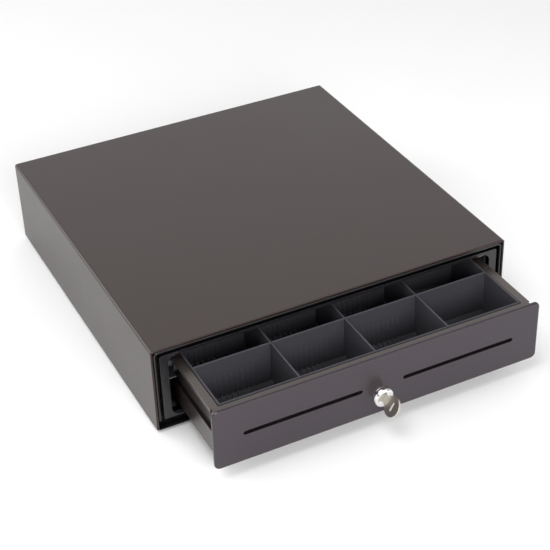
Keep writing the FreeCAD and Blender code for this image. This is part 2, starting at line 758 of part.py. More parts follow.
def media_slots(name, y):
    """Two slots with round ends, one on each side of the lock."""
    tools = []
    radius = D.slotHeight / 2
    for word, sign in SIDES:
        tools.append(block(name + "_" + word, on_side(sign, D.slotNear + radius, D.slotFar - radius), y,
                           (D.slotLevel - radius, D.slotLevel + radius)))
        for end, x in (("near", D.slotNear + radius), ("far", D.slotFar - radius)):
            tools.append(rod("%s_%s_%s" % (name, word, end), "y", radius, y, (x * sign, D.slotLevel)))
    return tools


def panel_stud_places():
    return [(x * 160, z) for x in (-1, 1) for z in (Size(27), Size(68))]


def make_front_panel():
    body = new_body("panel")
    half = D.panelHalf
    raise_pad(body, "panel_blank", "xz", (from_panel(0), from_panel(D.panelThick)),
              [[(-half, D.panelLow), (half, D.panelLow), (half, D.panelHigh), (-half, D.panelHigh)]])
    soften(body, "panel_corners", D.panelRound, lambda edge: runs_along(edge, "y"))
    soften(body, "panel_front_edge", 1.5,
           lambda edge: near(edge.CenterOfMass.y, from_panel(0)) and near(edge.BoundBox.YLength, 0))
    studs = [
        rod("panel_stud_%d" % i, "y", 1.5, (from_panel(D.panelThick), from_panel(9)), place)
        for i, place in enumerate(panel_stud_places())
    ]
    through = (from_panel(-1), from_panel(D.panelThick + 1))
    holes = media_slots("panel_slot", through)
    holes.append(rod("panel_lock_hole", "y", 9.1, through, (0, D.lockLevel)))
    publish(join("front_plate", [cut("panel_pierced", body, holes)] + studs), "front_panel")


def make_panel_nuts():
    nuts = []
    start = D.panelThick + D.sheet
    for i, (x, z) in enumerate(panel_stud_places()):
        nut = new_body("panel_nut_%d" % i)
        raise_pad(nut, "panel_nut_blank_%d" % i, "xz", (from_panel(start), from_panel(start + 2.4)),
                  [hexagon(x, z, 3.1), ((x, z), 1.55)])
        nuts.append(nut)
    publish(group("panel_nut_set", nuts), "panel_nuts")


def hexagon(x, z, radius):
    corners = [math.radians(60 * i + 30) for i in range(6)]
    return [(as_size(x) + radius * math.cos(a), as_size(z) + radius * math.sin(a)) for a in corners]


def make_drawer_pan():
    t = D.sheet
    half = D.panHalf
    front = D.panelThick
    back = D.panLength
    y_all = (from_panel(front), from_panel(back))
    solids = [
        block("pan_floor", (-half, half), y_all, (D.panLow, D.panLow + t)),
        block("pan_front", (-half, half), (from_panel(front), from_panel(front + t)),
              (D.panLow, D.panHigh)),
        block("pan_front_flange", (-half, half), (from_panel(front + t), from_panel(D.tillFront - 0.4)),
              (D.panHigh - t, D.panHigh)),
        block("pan_back", (-half, half), (from_panel(back - t), from_panel(back)), (D.panLow, 72)),
    ]
    for word, sign in SIDES:
        solids.append(block("pan_side_" + word, on_side(sign, half - t, half), y_all,
                            (D.panLow, D.panHigh)))
        flange_front = from_panel(13)
        solids.append(block("pan_flange_" + word, on_side(sign, half, D.flangeHalf),
                            (flange_front, from_panel(back)), (D.panHigh - t, D.panHigh)))
        solids.append(block("pan_lip_" + word, on_side(sign, D.flangeHalf - t, D.flangeHalf),
                            (flange_front, from_panel(back)), (D.panHigh - 4.5, D.panHigh)))
        solids.append(block("pan_corner_" + word, on_side(sign, half, D.flangeHalf - 1.6),
                            (from_panel(front), flange_front), (D.panHigh - t, D.panHigh)))
    wall = (from_panel(front - 1), from_panel(front + t + 1))
    holes = media_slots("pan_slot", wall)
    holes.append(rod("pan_lock_hole", "y", 9.1, wall, (0, D.lockLevel)))
    for i, place in enumerate(panel_stud_places()):
        holes.append(rod("pan_stud_hole_%d" % i, "y", 1.6, wall, place))
    holes.append(block("pan_cam_slot", (-7, 21), (from_panel(19.4), from_panel(23.8)),
                       (D.panLow - 1, D.panLow + t + 1)))
    for word, sign in SIDES:
        holes.append(rod("pan_pin_hole_" + word, "x", D.pinRadius, on_side(sign, half - 3, half + 1),
                         (from_panel(D.rearRollerBack), D.rollerLevel)))
    publish(cut("pan", join("pan_folded", solids), holes), "drawer_pan")


def make_drawer_rail(word, sign):
    """A channel, open towards the drawer, that stiffens the lower side."""
    inner = D.panHalf
    outer = D.railHalf
    low = D.panLow + 0.5
    y = (from_panel(D.panelThick), from_panel(D.panLength))
    parts = [
        block("rail_web_" + word, on_side(sign, outer - 1, outer), y, (low, D.railHigh)),
        block("rail_top_" + word, on_side(sign, inner, outer - 1), y, (D.railHigh - 1, D.railHigh)),
        block("rail_low_" + word, on_side(sign, inner, outer - 1), y, (low, low + 1)),
    ]
    publish(join("rail_" + word, parts), "drawer_rail_" + word)


def make_rear_roller(word, sign):
    y = from_panel(D.rearRollerBack)
    z = D.rollerLevel
    pin = turned("rear_pin_" + word, "x",
                 [(0, 0), (0, 4.5), (1, 4.5), (1, D.pinRadius), (2.2, D.pinRadius), (2.2, 4.5), (9.9, 4.5),
                  (9.9, D.pinRadius), (14.5, D.pinRadius), (14.5, 4.4), (15.2, 4.4), (15.2, 0)],
                 ((D.panHalf - D.sheet - 1) * sign, y, z))
    flip_to_side(pin, sign)
    publish(pin, "rear_roller_pin_" + word)
    roller = turned("rear_wheel_" + word, "x",
                    [(0, D.pinRadius + D.runFit), (0, D.rollerRadius - 0.5), (0.5, D.rollerRadius),
                     (3.5, D.rollerRadius), (4, D.rollerRadius - 0.5), (4, D.pinRadius + D.runFit)],
                    ((D.panHalf + 8) * sign, y, z))
    flip_to_side(roller, sign)
    publish(roller, "rear_roller_" + word)


def make_striker():
    """A plate on the back wall with two ears and an upright bar between them."""
    back = from_panel(D.panLength)
    parts = [
        block("striker_plate", (-9, 9), (back, back + 2), (20, 48)),
        block("striker_ear_low", (-5, 5), (back + 2, back + 16), (22, 24)),
        block("striker_ear_high", (-5, 5), (back + 2, back + 16), (44, 46)),
        rod("striker_bar", "z", 2.4, (24, 44), (0, back + 12.8)),
    ]
    publish(join("striker_loop", parts), "striker")


def make_lock():
    """Barrel, nut, plug, cam and key, all drawn about the lock's axis with the key upright."""
    barrel = turned("lock_barrel", "y",
                    [(-4.5, 6.75), (-4.5, 8.2), (-4.1, 9.3), (-3.2, 10.4), (-1.8, 11.1), (0, 11.3),
                     (0, 9), (20, 9), (20, 6.75)], (0, from_panel(0), D.lockLevel))
    publish(barrel, "lock_body")

    nut = new_body("lock_ring")
    start = D.panelThick + D.sheet
    raise_pad(nut, "lock_ring_blank", "xz", (from_panel(start), from_panel(start + 4)),
              [hexagon(0, D.lockLevel, 12), ((0, D.lockLevel), Size(9.05))])
    publish(nut, "lock_nut")

    plug = new_body("plug")
    raise_pad(plug, "plug_core", "xz", (Size(-3.9), Size(20.3)), [((0, 0), 6.7)])
    raise_pad(plug, "plug_square", "xz", (Size(20.3), Size(22.6)), [[(-2.5, -2.5), (2.5, -2.5), (2.5, 2.5),
                                                                   (-2.5, 2.5)]])
    sink_pocket(plug, "plug_keyway", "xz", (Size(-5), Size(15)),
                [[(-1.15, -4.2), (1.15, -4.2), (1.15, 4.2), (-1.15, 4.2)]])
    sink_pocket(plug, "plug_tapping", "xz", (Size(18), Size(23)), [((0, 0), 1.2)])
    lock_placement(plug)
    publish(plug, "lock_plug")

    cam = new_body("cam")
    raise_pad(cam, "cam_blade", "xz", (Size(20.6), Size(22.6)),
              [[(-6, -5), (18, -5), (21, -2), (21, 2), (18, 5), (-6, 5)]])
    sink_pocket(cam, "cam_square", "xz", (Size(20), Size(23)), [[(-2.55, -2.55), (2.55, -2.55), (2.55, 2.55),
                                                               (-2.55, 2.55)]])
    lock_placement(cam)
    publish(cam, "lock_cam")

    screw = new_body("cam_fixing")
    raise_pad(screw, "cam_fixing_shank", "xz", (Size(18.2), Size(22.6)), [((0, 0), 1.15)])
    raise_pad(screw, "cam_fixing_head", "xz", (Size(22.6), Size(24.4)), [((0, 0), 3.8)])
    lock_placement(screw)
    publish(screw, "cam_screw")

    key = new_body("key_blank")
    raise_pad(key, "key_bow", "yz", (-1.1, 1.1), [((-18, 0), 10.8)])
    raise_pad(key, "key_neck", "yz", (-1.1, 1.1), [[(-10, -5), (-5.6, -5), (-5.6, 5), (-10, 5)]])
    raise_pad(key, "key_blade", "yz", (-1, 1),
              [[(-6, -4), (9, -4), (13, -1.5), (13, 1), (11, 2.2), (9.5, 1.4), (7.5, 3.2), (5.5, 1.6),
                (3.5, 3.4), (1.5, 2.2), (-1, 4), (-6, 4)]])
    sink_pocket(key, "key_ring_slot", "yz", (-3, 3),
                [[(-20.2, -4), (-20.2, 4), (-19, 5.2), (-17.8, 4), (-17.8, -4), (-19, -5.2)]])
    lock_placement(key)
    publish(key, "key")


# ---------------------------------------------------------------- till

def coin_row_section(front, back, low, scoop):
    """Side view of one coin row: an upright back wall, rounded foot and a front wall that slopes below."""
    top = D.tillHigh + 1
    return [(front, top), (front, low + scoop), (front + scoop * 0.85, low), (back - 5, low), (back, low + 5),
            (back, top)]


def make_till_tray():
    body = new_body("till")
    half = D.tillHalf
    wall = D.tillWall
    low = D.tillLow
    floor = D.tillLow + D.tillFloor
    front = D.tillFront
    raise_pad(body, "till_shell", "yz", (-half, half),
              [[(from_panel(front), D.tillHigh), (from_panel(front), low + 27), (from_panel(front + 23.4), low),
                (from_panel(D.tillBack), low), (from_panel(D.tillBack), D.tillHigh)]])
    inner = half - wall
    row_one = coin_row_section(from_panel(front + wall), from_panel(D.rowOneBack), floor, 27)
    row_two = coin_row_section(from_panel(D.rowOneBack + 2), from_panel(D.rowTwoBack), floor, 10)
    notes = [(from_panel(D.rowTwoBack + 2), D.tillHigh + 1), (from_panel(D.rowTwoBack + 2), floor),
             (from_panel(D.tillBack - wall), floor), (from_panel(D.tillBack - wall), D.tillHigh + 1)]
    sink_pocket(body, "till_rows", "yz", (-inner, inner), [row_one, row_two, notes])
    soften(body, "till_rim", 0.8,
           lambda edge: near(edge.CenterOfMass.z, D.tillHigh) and near(edge.BoundBox.ZLength, 0))
    add_till_ribs(body, floor)
    add_till_lugs(body)
    add_divider_grooves(body)
    feet = []
    for x in (-150, 0, 150):
        for y in (60, 300):
            feet.append([(as_size(x) - 6, from_panel(y - 6)), (as_size(x) + 6, from_panel(y - 6)),
                         (as_size(x) + 6, from_panel(y + 6)), (as_size(x) - 6, from_panel(y + 6))])
    raise_pad(body, "till_feet", "xy", (D.panLow + D.sheet, low + 0.5), feet)
    publish(body, "till_tray")


def add_till_ribs(body, floor):
    """Eight upright ribs on each cup's back wall, each with a foot that runs out over the floor."""
    sections = []
    for back in (D.rowOneBack, D.rowTwoBack):
        wall = from_panel(back)
        sections.append([(wall + 0.5, D.tillHigh - 12), (wall - 1.1, D.tillHigh - 34), (wall - 1.1, floor + 7),
                         (wall - 7, floor + 0.9), (wall - 7, floor - 0.5), (wall + 0.5, floor - 0.5)])
    start = D.cupPitch * -1.5 - D.ribPitch * 3.5
    ribs = raise_pad(body, "till_rib", "yz", (start - 0.7, start + 0.7), sections)
    doc.recompute()
    axes = {feature.Role: feature for feature in body.Origin.OriginFeatures}
    pattern = body.newObject("PartDesign::LinearPattern", "till_ribs")
    pattern.Originals = [ribs]
    pattern.Direction = (axes["X_Axis"], [""])
    pattern.Mode = "Spacing"
    drive(pattern, "Offset", D.ribPitch)
    pattern.Occurrences = 8
    pattern.Direction2 = (axes["X_Axis"], [""])
    pattern.Mode2 = "Spacing"
    drive(pattern, "Offset2", D.cupPitch)
    pattern.Occurrences2 = 4
    body.Tip = pattern
    doc.recompute()


def add_till_lugs(body):
    """Five lugs on the till's back wall hold the clip rod."""
    y = D.clipRodBack
    z = D.clipRodLevel
    for i, x in enumerate((-2, -1, 0, 1, 2)):
        middle = D.cupPitch * x - as_size(x) * 0.6
        raise_pad(body, "till_lug_%d" % i, "yz", (middle - 2, middle + 2),
                  [[(from_panel(y - 5), z - 5), (from_panel(D.tillBack - 1), z - 12),
                    (from_panel(D.tillBack - 1), z + 6), (from_panel(y - 5), z + 6)]])
    sink_pocket(body, "till_rod_hole", "yz", (-D.tillHalf - 1, D.tillHalf + 1),
                [((from_panel(y), z), D.clipRodRadius + D.runFit)])


def add_divider_grooves(body):
    """Shallow grooves in the cross walls where the dividers are pushed in."""
    width = D.dividerThick / 2 + 0.15
    grooves = []
    for i in (-1, 0, 1):
        x = D.cupPitch * i
        for front, back in ((D.tillFront + D.tillWall, D.rowTwoBack), (D.rowTwoBack + 2, D.tillBack - D.tillWall)):
            grooves.append(rectangle(x - width, x + width, from_panel(front - 0.8), from_panel(back + 0.8)))
    sink_pocket(body, "till_grooves", "xy", (CROSS_LEVEL, D.tillHigh + 1), grooves)


CROSS_LEVEL = Size(53)


def rectangle(x_low, x_high, y_low, y_high):
    return [(x_low, y_low), (x_high, y_low), (x_high, y_high), (x_low, y_high)]


def make_dividers():
    floor = D.tillLow + D.tillFloor + 0.1
    top = D.tillHigh - 0.2
    for word, i in (("left", -1), ("centre", 0), ("right", 1)):
        x = D.cupPitch * i
        span = (x - D.dividerThick / 2, x + D.dividerThick / 2)
        front = D.tillFront + D.tillWall - 0.6
        back = D.rowTwoBack + 0.6
        coin = new_body("coin_plate_" + word)
        raise_pad(coin, "coin_plate_blank_" + word, "yz", span,
                  [[(from_panel(front), top), (from_panel(front), CROSS_LEVEL + 1.5),
                    (from_panel(front + 3), CROSS_LEVEL),
                    (from_panel(front + 25), floor + 0.4), (from_panel(D.rowOneBack - 9), floor + 0.4),
                    (from_panel(D.rowOneBack - 0.4), floor + 9),
                    (from_panel(D.rowOneBack - 0.4), CROSS_LEVEL + 0.4),
                    (from_panel(D.rowOneBack + 2.4), CROSS_LEVEL + 0.4),
                    (from_panel(D.rowOneBack + 2.4), floor + 12), (from_panel(D.rowOneBack + 12), floor + 0.4),
                    (from_panel(D.rowTwoBack - 9), floor + 0.4), (from_panel(D.rowTwoBack - 0.4), floor + 9),
                    (from_panel(D.rowTwoBack - 0.4), CROSS_LEVEL + 0.4), (from_panel(back), CROSS_LEVEL + 0.4),
                    (from_panel(back), top)]])
        publish(coin, "coin_divider_" + word)
        note = new_body("note_plate_" + word)
        start = D.rowTwoBack + 2
        end = D.tillBack - D.tillWall
        raise_pad(note, "note_plate_blank_" + word, "yz", span,
                  [[(from_panel(start - 0.6), top - 4), (from_panel(start - 0.6), CROSS_LEVEL + 0.4),
                    (from_panel(start + 0.4), CROSS_LEVEL + 0.4), (from_panel(start + 0.4), floor),
                    (from_panel(end - 0.4), floor), (from_panel(end - 0.4), CROSS_LEVEL + 1),
                    (from_panel(end - 22), CROSS_LEVEL + 1), (from_panel(end - 34), top - 4)]])
        publish(note, "note_divider_" + word)


def make_clips():
    """The rod, four sprung arms that lie on the notes, and their springs."""
    y = from_panel(D.clipRodBack)
    z = D.clipRodLevel
    publish(rod("clip_axle", "x", D.clipRodRadius, (-D.tillHalf + 0.5, D.tillHalf - 0.5), (y, z)), "clip_rod")
    springs = []
    pad_level = D.tillLow + D.tillFloor + 0.4
    for i in range(4):
        x = D.cupPitch * (i - 1.5)
        clip = new_body("clip_%d" % (i + 1))
        raise_pad(clip, "clip_hub_%d" % (i + 1), "yz", (x - 13, x + 13), [((y, z), 4.6)])
        raise_pad(clip, "clip_arm_%d" % (i + 1), "yz", (x - 7, x + 7),
                  [[(y - 1, z + 4), (y - 4, z + 1.5), (y - 92, pad_level + 5), (y - 99, pad_level + 2),
                    (y - 99, pad_level), (y - 92, pad_level + 2.6), (y - 4, z - 2)]])
        raise_pad(clip, "clip_pad_%d" % (i + 1), "yz", (x - 16, x + 16),
                  [[(y - 112, pad_level + 3.4), (y - 108, pad_level), (y - 96, pad_level),
                    (y - 96, pad_level + 2), (y - 107, pad_level + 2), (y - 111, pad_level + 5)]])
        sink_pocket(clip, "clip_bore_%d" % (i + 1), "yz", (x - 14, x + 14),
                    [((y, z), D.clipRodRadius + D.runFit)])
        publish(clip, "note_clip_%d" % (i + 1))
        springs.append(coil_spring("clip_coil_%d" % (i + 1), 0.5, 3.3, (x + 13.4, x + 20), 3, "x", (y, z)))
    publish(group("clip_coil_set", springs), "clip_springs")


# ---------------------------------------------------------------- build

def build():
    make_base_pan()
    make_top_cover()
    make_front_frame()
    make_rear_panel()
    make_signal_socket()
    for word, sign in SIDES:
        make_side(word, sign)
    make_feet()
    make_cover_screws()
    make_lock_keeper()
    make_latch_bracket()
    make_bracket_screws()
    make_latch_pin()
    make_latch_lever()
    make_solenoid()
    make_ejector()
    make_microswitch()
    make_front_panel()
    make_panel_nuts()
    make_drawer_pan()
    for word, sign in SIDES:
        make_drawer_rail(word, sign)
        make_rear_roller(word, sign)
    make_striker()
    make_lock()
    make_till_tray()
    make_dividers()
    make_clips()
    doc.recompute()


def check_and_write():
    for item in doc.Objects:
        if "Invalid" in item.State or "Error" in item.State:
            raise RuntimeError("%s did not build: %s" % (item.Name, item.State))
    os.makedirs("parts", exist_ok=True)
    for feature in SUB_PARTS:
        shape = feature.Shape
        if shape.isNull() or not shape.isValid():
            raise RuntimeError("bad shape: " + feature.Label)
        shape.exportStep("parts/%s.step" % feature.Label)


build()
check_and_write()
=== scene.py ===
import json
import math

import bpy
from mathutils import Matrix, Vector


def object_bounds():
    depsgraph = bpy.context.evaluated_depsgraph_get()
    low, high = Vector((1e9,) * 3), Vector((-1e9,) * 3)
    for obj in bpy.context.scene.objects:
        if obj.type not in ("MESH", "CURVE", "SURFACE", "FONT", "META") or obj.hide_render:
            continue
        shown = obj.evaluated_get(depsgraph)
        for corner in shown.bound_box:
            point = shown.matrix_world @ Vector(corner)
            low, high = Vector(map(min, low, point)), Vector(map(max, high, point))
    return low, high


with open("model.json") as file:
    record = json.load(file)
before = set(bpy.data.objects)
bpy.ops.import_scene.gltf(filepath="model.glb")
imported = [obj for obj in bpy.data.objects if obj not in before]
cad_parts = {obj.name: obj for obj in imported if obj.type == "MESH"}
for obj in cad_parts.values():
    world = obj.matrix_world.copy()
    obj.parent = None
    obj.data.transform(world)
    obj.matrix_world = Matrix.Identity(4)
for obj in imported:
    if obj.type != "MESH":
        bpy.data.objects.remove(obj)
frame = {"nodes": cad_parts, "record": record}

CAD_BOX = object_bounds()
NODES = frame["nodes"]

# The Mix node has sockets of every data type; these are its colour ones.
MIX_COLOUR_A = 6
MIX_COLOUR_B = 7
MIX_COLOUR_RESULT = 2


# ---------------------------------------------------------------- node helpers

class Graph:
    """Builds one material's node tree."""

    def __init__(self, name):
        self.material = bpy.data.materials.new(name)
        self.material.use_nodes = True
        self.tree = self.material.node_tree
        self.tree.nodes.clear()
        self.output = self.tree.nodes.new("ShaderNodeOutputMaterial")
        self.shader = self.tree.nodes.new("ShaderNodeBsdfPrincipled")
        self.link(self.shader.outputs["BSDF"], self.output.inputs["Surface"])
        coordinates = self.tree.nodes.new("ShaderNodeTexCoord")
        self.place = coordinates.outputs["Object"]

    def link(self, source, target):
        self.tree.links.new(source, target)

    def set(self, **values):
        """Plain values straight on the shader's sockets."""
        for name, value in values.items():
            self.shader.inputs[name.replace("_", " ")].default_value = value

    def scaled(self, scale):
        """Object coordinates stretched by (x, y, z)."""
        mapping = self.tree.nodes.new("ShaderNodeMapping")
        mapping.inputs["Scale"].default_value = scale
        self.link(self.place, mapping.inputs["Vector"])
        return mapping.outputs["Vector"]

    def noise(self, scale, detail=3.0, roughness=0.5, stretch=None):
        node = self.tree.nodes.new("ShaderNodeTexNoise")
        node.inputs["Scale"].default_value = scale
        node.inputs["Detail"].default_value = detail
        node.inputs["Roughness"].default_value = roughness
        self.link(self.scaled(stretch) if stretch else self.place, node.inputs["Vector"])
        return node.outputs["Fac"]

    def ramp(self, source, stops):
        """Stops are (position, value or colour)."""
        node = self.tree.nodes.new("ShaderNodeValToRGB")
        elements = node.color_ramp.elements
        for element, (position, value) in zip(elements, (stops[0], stops[-1])):
            element.position = position
            element.color = opaque(value)
        for position, value in stops[1:-1]:
            elements.new(position).color = opaque(value)
        self.link(source, node.inputs["Fac"])
        return node.outputs["Color"]

    def math(self, operation, first, second=0.0):
        """Each of the two is a number or a socket."""
        node = self.tree.nodes.new("ShaderNodeMath")
        node.operation = operation
        for socket, value in zip(node.inputs, (first, second)):
            if isinstance(value, (int, float)):
                socket.default_value = value
            else:
                self.link(value, socket)
        return node.outputs["Value"]

    def mix(self, factor, first, second):
        """Each of the two is a colour or a socket; factor 0 gives the first."""
        node = self.tree.nodes.new("ShaderNodeMix")
        node.data_type = "RGBA"
        self.link(factor, node.inputs["Factor"])
        for index, value in ((MIX_COLOUR_A, first), (MIX_COLOUR_B, second)):
            if isinstance(value, tuple):
                node.inputs[index].default_value = opaque(value)
            else:
                self.link(value, node.inputs[index])
        return node.outputs[MIX_COLOUR_RESULT]

    def bump(self, height, strength, distance, normal):
        node = self.tree.nodes.new("ShaderNodeBump")
        node.inputs["Strength"].default_value = strength
        node.inputs["Distance"].default_value = distance
        self.link(height, node.inputs["Height"])
        self.link(normal, node.inputs["Normal"])
        return node.outputs["Normal"]

    def rounded(self, radius):
        """A normal that turns smoothly over each sharp edge."""
        node = self.tree.nodes.new("ShaderNodeBevel")
        node.samples = 6
        node.inputs["Radius"].default_value = radius
        return node.outputs["Normal"]

    def edge_mask(self, radius):
        """1 on sharp edges and 0 on flats, from how far the rounded normal leans from the true one."""
        geometry = self.tree.nodes.new("ShaderNodeNewGeometry")
        dot = self.tree.nodes.new("ShaderNodeVectorMath")
        dot.operation = "DOT_PRODUCT"
        self.link(self.rounded(radius), dot.inputs[0])
        self.link(geometry.outputs["Normal"], dot.inputs[1])
        return self.ramp(dot.outputs["Value"], [(0.80, 1.0), (0.98, 0.0)])

    def open_air(self, reach):
        """0 deep in corners and recesses and 1 in the open."""
        node = self.tree.nodes.new("ShaderNodeAmbientOcclusion")
        node.samples = 8
        node.inputs["Distance"].default_value = reach
        return self.ramp(node.outputs["AO"], [(0.45, 0.0), (0.85, 1.0)])

    def along(self, axis, stops):
        """A ramp along one of the object's own axes, the same on both sides of its middle."""
        split = self.tree.nodes.new("ShaderNodeSeparateXYZ")
        self.link(self.place, split.inputs["Vector"])
        return self.ramp(self.math("ABSOLUTE", split.outputs[axis]), stops)

    def surface(self, colour, roughness=None, normal=None, shine=None):
        """Joins what is given to the shader and returns the finished material."""
        for source, name in ((colour, "Base Color"), (roughness, "Roughness"), (normal, "Normal"),
                             (shine, "Specular IOR Level")):
            if source:
                self.link(source, self.shader.inputs[name])
        return self.material


def opaque(value):
    """A ramp's or socket's four channels, from one grey number or three."""
    return (value, value, value, 1) if isinstance(value, (int, float)) else (*value[:3], 1)


def shade(colour, factor):
    return tuple(channel * factor for channel in colour)


# ---------------------------------------------------------------- paint

# Paint is paler along sharp edges: partly wear from handling, partly a painted highlight.
WORN_EDGE_HIGHLIGHT_WIDTH = 0.0006
WORN_EDGE_HIGHLIGHT_SHADE = 9
SHEET_EDGE_RADIUS = 0.0005
PEEL_DEPTH = 0.00006
RECESS_SHADE_REACH = 0.02

# Painted shade: a dark band on the pan's side walls where the track lies in shadow, in the pan's own
# coordinates.
TRACK_HALF_WIDTH = 0.1722
TRACK_BOTTOM = 0.0435
TRACK_TOP = 0.0735
TRACK_SHADE_COLOUR = (0.030, 0.028, 0.029)
TRACK_SHADE_FADE_INWARD = 0.0006
TRACK_SHADE_FADE_UPWARD = 0.0008


def painted_track_shade(g):
    """1 on the track's walls, where the shade is painted, and 0 elsewhere."""
    sideways = g.along("X", [(TRACK_HALF_WIDTH - TRACK_SHADE_FADE_INWARD, 0.0), (TRACK_HALF_WIDTH, 1.0)])
    upward = g.along("Z", [(TRACK_BOTTOM - TRACK_SHADE_FADE_UPWARD, 0.0), (TRACK_BOTTOM, 1.0),
                           (TRACK_TOP, 1.0), (TRACK_TOP + TRACK_SHADE_FADE_UPWARD, 0.0)])
    return g.math("MULTIPLY", sideways, upward)


def worn_and_highlit_colour(g, colour, wear_and_highlight):
    """Slightly cloudy paint with paler patches along its edges, partly wear and partly a painted
    highlight.
    """
    cloudy = g.mix(g.noise(9, 4), shade(colour, 0.90), shade(colour, 1.10))
    patches = g.ramp(g.noise(70, 4), [(0.40, 0.0), (0.72, 1.0)])
    worn_highlit_edge = g.math("MULTIPLY", g.edge_mask(WORN_EDGE_HIGHLIGHT_WIDTH), patches)
    return g.mix(g.math("MULTIPLY", worn_highlit_edge, wear_and_highlight), cloudy, shade(colour, WORN_EDGE_HIGHLIGHT_SHADE))


def orange_peel(g, grain):
    """Sprayed paint's fine bumps on top of broader ones."""
    fine = 2600
    broad = fine * 0.22
    height = g.math("ADD", g.math("MULTIPLY", g.noise(fine, 2, 0.55), 0.5), g.noise(broad, 2, 0.5))
    return g.bump(height, grain, PEEL_DEPTH, g.rounded(SHEET_EDGE_RADIUS))


def powder_coat(name, colour, rough, shine, tint=(1.0, 1.0, 1.0), grain=0.35, wear_and_highlight=0.25, recess_shade=0.0,
                track_shaded=False):
    """Sprayed paint with paler edges, partly polished by handling and partly a painted highlight.

    Where the recess shade share is over 0, shade is painted into recesses: the paint is darker and less
    glossy there.
    Only such paint can have shade painted on the drawer's track.
    """
    g = Graph(name)
    painted = worn_and_highlit_colour(g, colour, wear_and_highlight)
    roughness = g.ramp(g.noise(5, 5, 0.6), [(0.35, rough * 0.93), (0.7, rough * 1.07)])
    normal = orange_peel(g, grain)
    g.set(Specular_Tint=(*tint, 1.0))
    if not recess_shade:
        g.set(Specular_IOR_Level=shine)
        return g.surface(painted, roughness, normal)
    # Painted shade: the paint is made darker and less glossy in recesses.
    unshaded = g.open_air(RECESS_SHADE_REACH)
    painted = g.mix(unshaded, shade(colour, 1 - recess_shade), painted)
    level = g.ramp(unshaded, [(0.0, shine * (1 - recess_shade)), (1.0, shine)])
    if track_shaded:
        # Painted shade on the track's walls: dark colour and no reflection.
        track_shade = painted_track_shade(g)
        painted = g.mix(track_shade, painted, TRACK_SHADE_COLOUR)
        level = g.math("MULTIPLY", level, g.math("SUBTRACT", 1.0, track_shade))
    return g.surface(painted, roughness, normal, level)


# ---------------------------------------------------------------- plastic and metal

# Plastic is paler along sharp edges: partly rubbed wear, partly a painted highlight.
RUBBED_EDGE_HIGHLIGHT_WIDTH = 0.0005
RUBBED_EDGE_HIGHLIGHT_SHARE = 0.55
RUBBED_EDGE_HIGHLIGHT_SHADE = 3.8
MOULDED_EDGE_RADIUS = 0.0004
ETCHING_DEPTH = 0.00005
METAL_EDGE_RADIUS = 0.0002
STREAK_DEPTH = 0.00004
STREAK_BUMP = 0.18


def moulded(name, colour, rough, grain=0.3, fine=1800, shine=0.5):
    """Injection-moulded plastic with an etched surface and paler edges, partly rubbed wear and partly a
    painted highlight.
    """
    g = Graph(name)
    tone = g.mix(g.noise(14, 3), shade(colour, 0.92), shade(colour, 1.08))
    worn_highlit_edge = g.math("MULTIPLY", g.edge_mask(RUBBED_EDGE_HIGHLIGHT_WIDTH), RUBBED_EDGE_HIGHLIGHT_SHARE)
    roughness = g.ramp(g.noise(11, 4, 0.6), [(0.3, rough * 0.9), (0.7, rough * 1.1)])
    normal = g.bump(g.noise(fine, 2, 0.5), grain, ETCHING_DEPTH, g.rounded(MOULDED_EDGE_RADIUS))
    g.set(Specular_IOR_Level=shine)
    return g.surface(g.mix(worn_highlit_edge, tone, shade(colour, RUBBED_EDGE_HIGHLIGHT_SHADE)), roughness, normal)


def steel(name, colour, rough, stretch=(1, 1, 1), scratch=900, tarnish=0.12):
    """Bare or plated steel with drawn or rolled streaks along the axis that stretch raises least."""
    g = Graph(name)
    streaks = g.noise(scratch, 3, 0.6, stretch)
    stain = g.noise(38, 4)
    tone = g.mix(g.ramp(stain, [(0.35, 0.0), (0.75, 1.0)]), colour, shade(colour, 1 - tarnish))
    uneven = g.math("ADD", g.math("MULTIPLY", streaks, 0.6), g.math("MULTIPLY", stain, 0.4))
    roughness = g.ramp(uneven, [(0.3, rough * 0.8), (0.7, rough * 1.25)])
    normal = g.bump(streaks, STREAK_BUMP, STREAK_DEPTH, g.rounded(METAL_EDGE_RADIUS))
    g.set(Metallic=1.0)
    return g.surface(tone, roughness, normal)


# ---------------------------------------------------------------- finishes

DRAWER_TINT = (1.0, 0.90, 0.86)

PAINTS = {
    "case_paint": dict(colour=(0.0150, 0.0085, 0.0075), rough=0.33, shine=0.54, tint=(1.0, 0.90, 0.88),
                       wear_and_highlight=0.7),
    "frame_paint": dict(colour=(0.013, 0.012, 0.014), rough=0.20, shine=0.55, grain=0.08, recess_shade=0.7),
    "panel_paint": dict(colour=(0.0130, 0.0095, 0.0130), rough=0.26, shine=0.76, tint=(1.0, 0.90, 0.98),
                        wear_and_highlight=0.5),
    "drawer_paint": dict(colour=(0.020, 0.015, 0.014), rough=0.32, shine=0.72, tint=DRAWER_TINT, recess_shade=0.7),
    "track_paint": dict(colour=(0.026, 0.020, 0.018), rough=0.32, shine=0.95, tint=DRAWER_TINT, recess_shade=0.6,
                        track_shaded=True),
}

METALS = {
    "inner_steel": dict(colour=(0.24, 0.24, 0.25), rough=0.50, stretch=(1, 8, 8)),
    "plated_steel": dict(colour=(0.62, 0.62, 0.58), rough=0.32, stretch=(1, 6, 6)),
    "bright_steel": dict(colour=(0.68, 0.68, 0.68), rough=0.22, stretch=(1, 12, 12)),
    "screw_steel": dict(colour=(0.20, 0.20, 0.21), rough=0.35),
    "lock_chrome": dict(colour=(0.82, 0.81, 0.80), rough=0.09, scratch=1500, tarnish=0.04),
    "key_nickel": dict(colour=(0.66, 0.62, 0.55), rough=0.34, stretch=(2, 1, 9), scratch=1200),
}

